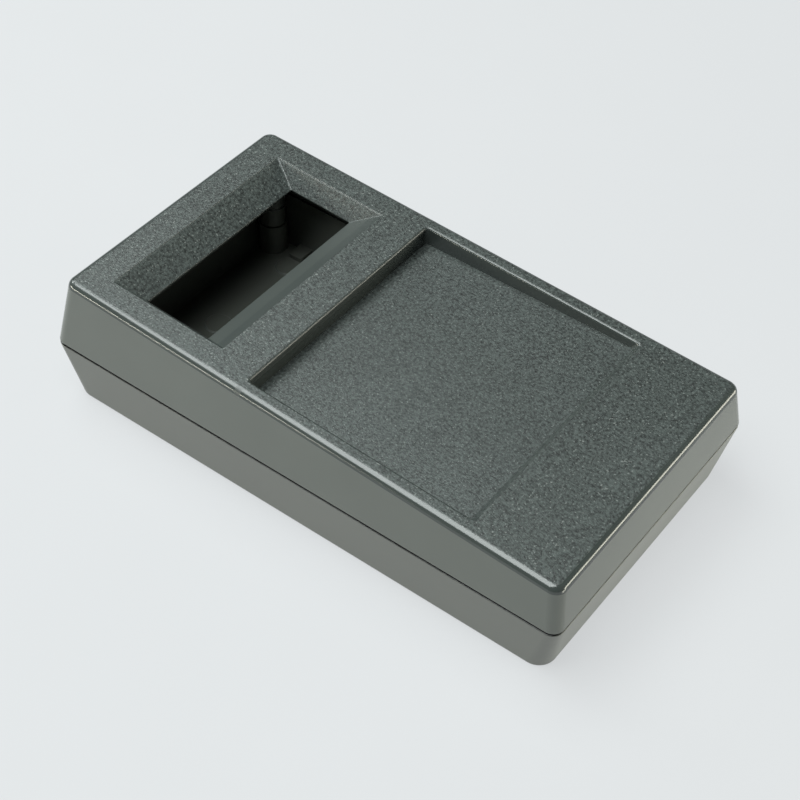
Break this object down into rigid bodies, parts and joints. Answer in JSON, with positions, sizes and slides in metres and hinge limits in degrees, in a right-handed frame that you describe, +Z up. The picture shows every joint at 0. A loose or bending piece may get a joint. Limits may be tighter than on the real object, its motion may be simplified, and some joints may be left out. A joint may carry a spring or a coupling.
{
  "type": "injection moulded instrument housing",
  "caption": "Sloping plastic case in upper and lower shells for a handheld instrument, with a bevelled display window and a sunken keypad area.",
  "frame": {"origin": "middle of the flat underside of the closed case", "axes": "+X along the case from the display end to the keypad end, +Y across it, +Z up out of the sloping top"},
  "size_m": [0.1448, 0.0808, 0.0358],
  "materials": {
    "housing_plastic": "satin",
    "screw_steel": "satin"
  },
  "bodies": {
    "root": {"upper_shell": "housing_plastic", "lower_shell": "housing_plastic", "case_screws": "screw_steel"}
  },
  "joints": []
}
